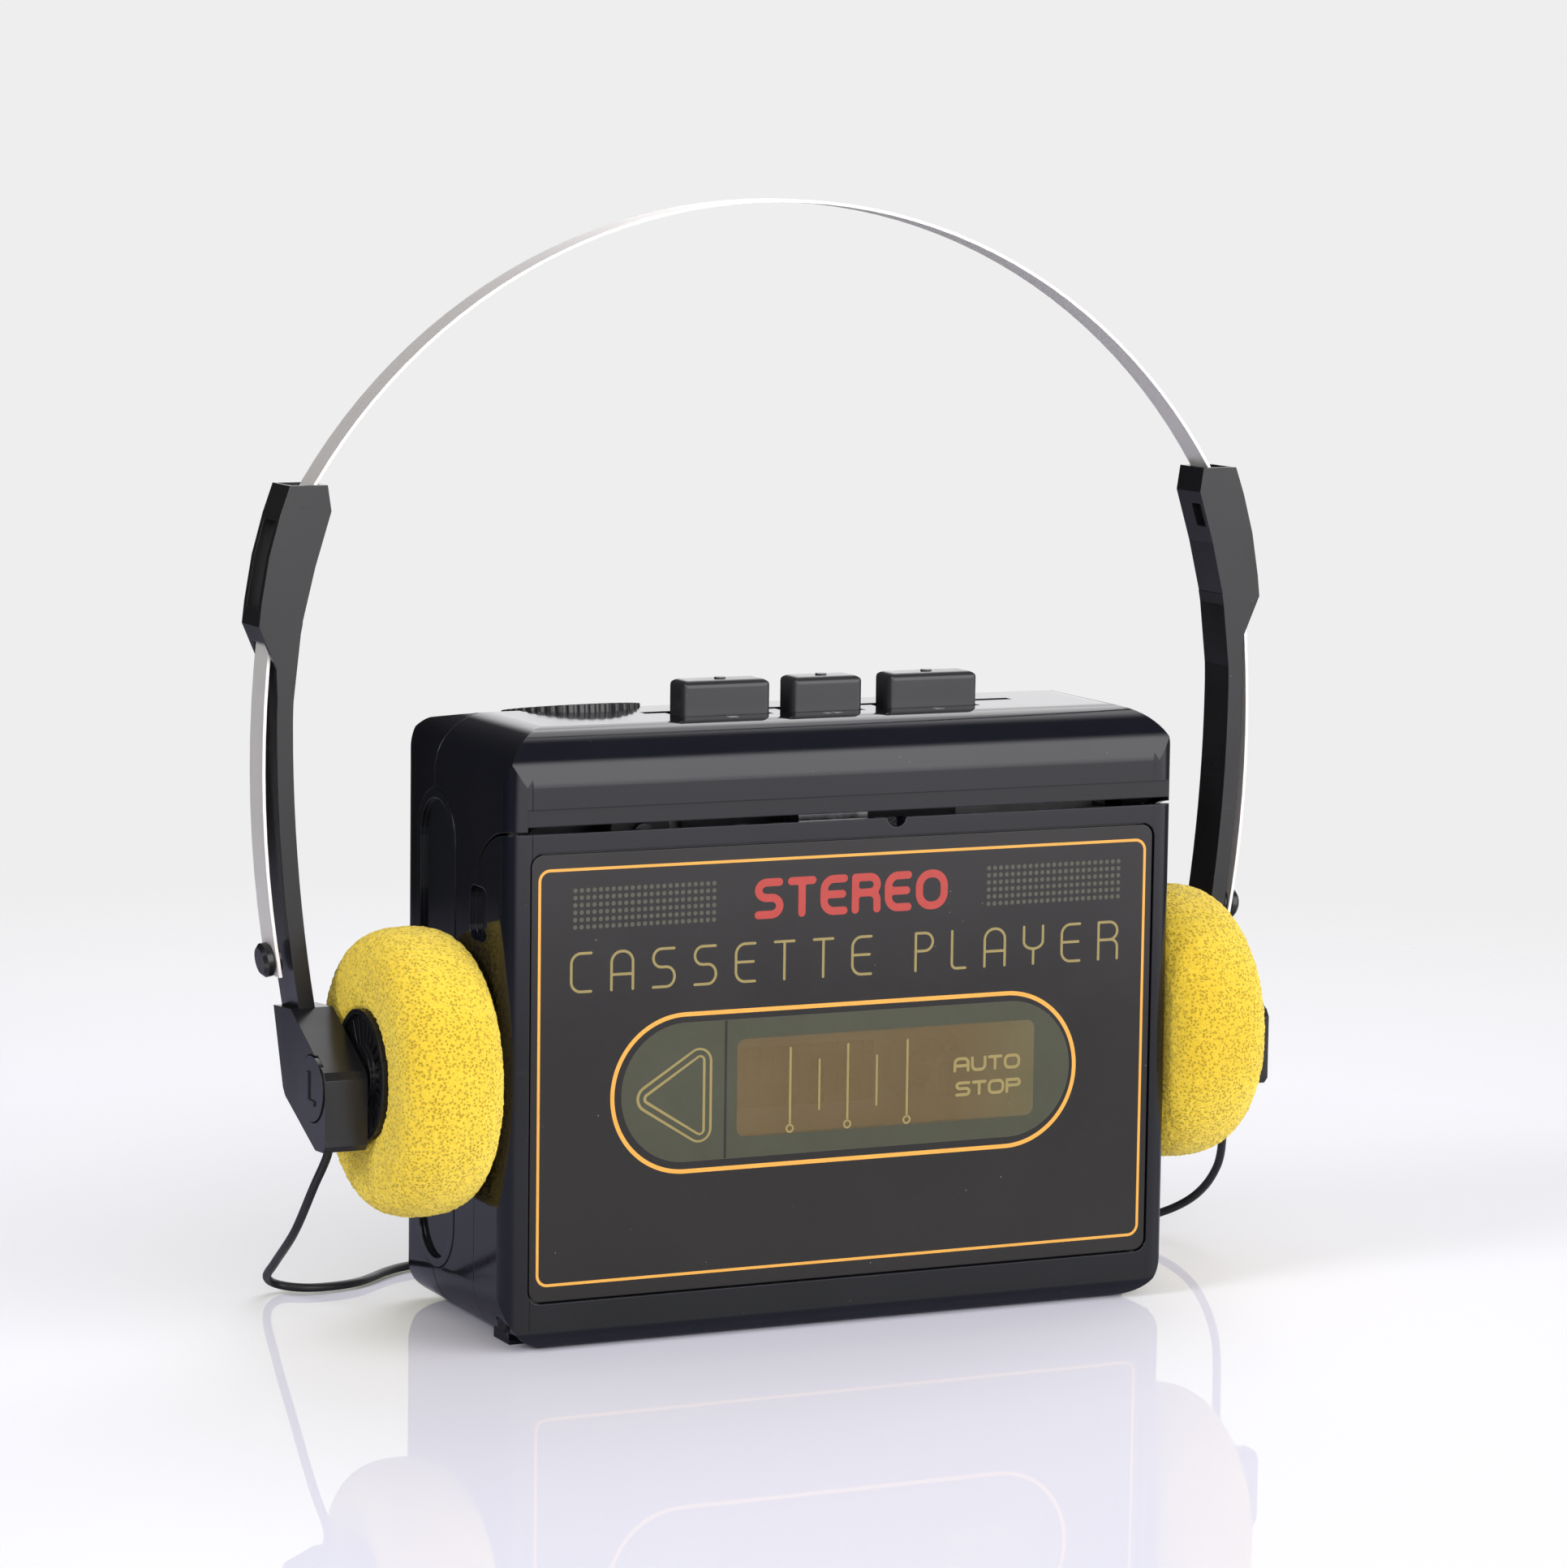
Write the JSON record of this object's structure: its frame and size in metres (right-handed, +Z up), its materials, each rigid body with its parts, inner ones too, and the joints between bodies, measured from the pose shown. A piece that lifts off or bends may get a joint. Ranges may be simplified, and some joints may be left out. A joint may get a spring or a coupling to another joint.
{
  "type": "portable cassette player with headset",
  "caption": "Pocket cassette player with a hinged cassette door, press keys and a volume wheel, gripped by a steel-band headset with round foam ear pads.",
  "frame": {"origin": "centre of the player's base on the standing surface", "axes": "+X right seen from the front, +Y towards the back (the front panel faces -Y), +Z up"},
  "size_m": [0.1756, 0.093, 0.1758],
  "materials": {
    "case_plastic": "gloss",
    "trim_plastic": "gloss",
    "key_plastic": "gloss",
    "panel_print": "gloss",
    "window_clear": "gloss",
    "guide_plastic": "matte",
    "spring_steel": "satin",
    "plated_steel": "satin",
    "chassis_steel": "satin",
    "reel_plastic": "matte",
    "brass": "satin",
    "belt_rubber": "matte",
    "strip_rubber": "matte",
    "board": "matte",
    "parts": "matte",
    "head_metal": "polished",
    "band_steel": "satin",
    "headset_plastic": "satin",
    "foam_yellow": "open foam",
    "cord_black": "satin"
  },
  "bodies": {
    "case": {"front_case": "case_plastic", "rear_shell": "case_plastic", "side_trim_left": "trim_plastic", "side_trim_right": "trim_plastic", "door_catch": "spring_steel", "hinge_pins": "plated_steel", "key_spring": "spring_steel", "chassis_plate": "chassis_steel", "chassis_screws": "plated_steel", "case_screws": "plated_steel", "bay_strip": "strip_rubber", "drive_belt": "belt_rubber", "motor": "plated_steel", "circuit_board": "board", "board_parts": "parts", "volume_pot": "plated_steel", "headphone_jack": "guide_plastic", "battery_contacts": "spring_steel", "cord_left": "cord_black", "cord_right": "cord_black", "cord_splitter": "cord_black", "cord_coil": "cord_black", "cord_tie": "cord_black", "cord_main": "cord_black", "plug": "headset_plastic"},
    "door": {"door_shell": "case_plastic", "door_panel": "panel_print", "door_window": "window_clear", "cassette_guides": "guide_plastic"},
    "stop_key": {"stop_key": "key_plastic"},
    "forward_key": {"forward_key": "key_plastic"},
    "play_key": {"play_key": "key_plastic"},
    "supply_reel": {"supply_reel": "reel_plastic"},
    "takeup_reel": {"takeup_reel": "reel_plastic"},
    "flywheel": {"flywheel": "brass"},
    "idler_wheel": {"idler_wheel": "belt_rubber"},
    "motor_pulley": {"motor_pulley": "brass"},
    "head_plate": {"head_plate": "chassis_steel", "tape_head": "head_metal"},
    "pinch_arm": {"pinch_arm": "chassis_steel"},
    "pinch_roller": {"pinch_roller": "belt_rubber"},
    "volume_wheel": {"volume_wheel": "key_plastic"},
    "battery_lid": {"battery_lid": "case_plastic"},
    "headband": {"headband": "band_steel", "band_knobs": "headset_plastic"},
    "arm_left": {"arm_left": "headset_plastic", "ear_block_left": "headset_plastic", "badge_left": "headset_plastic"},
    "ear_left": {"housing_left": "headset_plastic", "driver_left": "plated_steel", "pad_left": "foam_yellow"},
    "arm_right": {"arm_right": "headset_plastic", "ear_block_right": "headset_plastic", "badge_right": "headset_plastic"},
    "ear_right": {"housing_right": "headset_plastic", "driver_right": "plated_steel", "pad_right": "foam_yellow"}
  },
  "joints": [
    {"name": "door_hinge", "type": "hinge", "parent": "case", "child": "door", "pos_m": [0, -0.0178, 0.0042], "axis": [1, 0, 0], "range_deg": [0, 45]},
    {"name": "stop_key_press", "type": "slide", "parent": "case", "child": "stop_key", "axis": [0, 0, -1], "range_m": [0, 0.004], "stiffness_N_per_m": 250, "springref_m": -0.002, "deforming": ["key_spring"]},
    {"name": "forward_key_press", "type": "slide", "parent": "case", "child": "forward_key", "axis": [0, 0, -1], "range_m": [0, 0.004], "stiffness_N_per_m": 250, "springref_m": -0.002, "deforming": ["key_spring"]},
    {"name": "play_key_press", "type": "slide", "parent": "case", "child": "play_key", "axis": [0, 0, -1], "range_m": [0, 0.004], "stiffness_N_per_m": 250, "springref_m": -0.002, "deforming": ["key_spring"]},
    {"name": "head_plate_slide", "type": "slide", "parent": "case", "child": "head_plate", "axis": [0, 0, -1], "range_m": [0, 0.004]},
    {"name": "pinch_arm_swing", "type": "hinge", "parent": "case", "child": "pinch_arm", "pos_m": [-0.047, -0.0085, 0.077], "axis": [0, 1, 0], "range_deg": [0, 18]},
    {"name": "pinch_roller_spin", "type": "hinge", "parent": "pinch_arm", "child": "pinch_roller", "pos_m": [-0.033, -0.012, 0.079], "axis": [0, 1, 0], "continuous": true},
    {"name": "flywheel_spin", "type": "hinge", "parent": "case", "child": "flywheel", "pos_m": [-0.033, 0, 0.068], "axis": [0, 1, 0], "continuous": true},
    {"name": "idler_spin", "type": "hinge", "parent": "case", "child": "idler_wheel", "pos_m": [-0.0284, 0, 0.0563], "axis": [0, 1, 0], "continuous": true},
    {"name": "takeup_reel_spin", "type": "hinge", "parent": "case", "child": "takeup_reel", "pos_m": [-0.02125, 0, 0.038], "axis": [0, 1, 0], "continuous": true},
    {"name": "supply_reel_spin", "type": "hinge", "parent": "case", "child": "supply_reel", "pos_m": [0.02125, 0, 0.038], "axis": [0, 1, 0], "continuous": true},
    {"name": "motor_pulley_spin", "type": "hinge", "parent": "case", "child": "motor_pulley", "pos_m": [0.036, 0, 0.062], "axis": [0, 1, 0], "continuous": true},
    {"name": "volume_turn", "type": "hinge", "parent": "case", "child": "volume_wheel", "pos_m": [-0.033, 0.0125, 0.09501], "axis": [0, 0.1564, 0.9877], "range_deg": [0, 270]},
    {"name": "battery_lid_hinge", "type": "hinge", "parent": "case", "child": "battery_lid", "pos_m": [-0.027, 0.0211, 0.0364], "axis": [1, 0, 0], "range_deg": [0, 100]},
    {"name": "headset_lift", "type": "slide", "parent": "case", "child": "headband", "axis": [0, -0.6, 0.8], "range_m": [0, 0.045]},
    {"name": "arm_left_slide", "type": "slide", "parent": "headband", "child": "arm_left", "axis": [0, 0, -1], "range_m": [0, 0.005]},
    {"name": "ear_left_turn", "type": "hinge", "parent": "arm_left", "child": "ear_left", "pos_m": [-0.0731, -0.0047, 0.042], "axis": [1, 0, 0], "range_deg": [-30, 30]},
    {"name": "arm_right_slide", "type": "slide", "parent": "headband", "child": "arm_right", "axis": [0, 0, -1], "range_m": [0, 0.005]},
    {"name": "ear_right_turn", "type": "hinge", "parent": "arm_right", "child": "ear_right", "pos_m": [0.0731, -0.0047, 0.042], "axis": [1, 0, 0], "range_deg": [-30, 30]}
  ],
  "couplings": [
    {"joint": "head_plate_slide", "follows": "play_key_press", "ratio": 1},
    {"joint": "pinch_arm_swing", "follows": "play_key_press", "rad_per_m": 78.461},
    {"joint": "motor_pulley_spin", "follows": "flywheel_spin", "ratio": 4.2571},
    {"joint": "idler_spin", "follows": "flywheel_spin", "ratio": -0.4524},
    {"joint": "takeup_reel_spin", "follows": "flywheel_spin", "ratio": 0.3486}
  ]
}
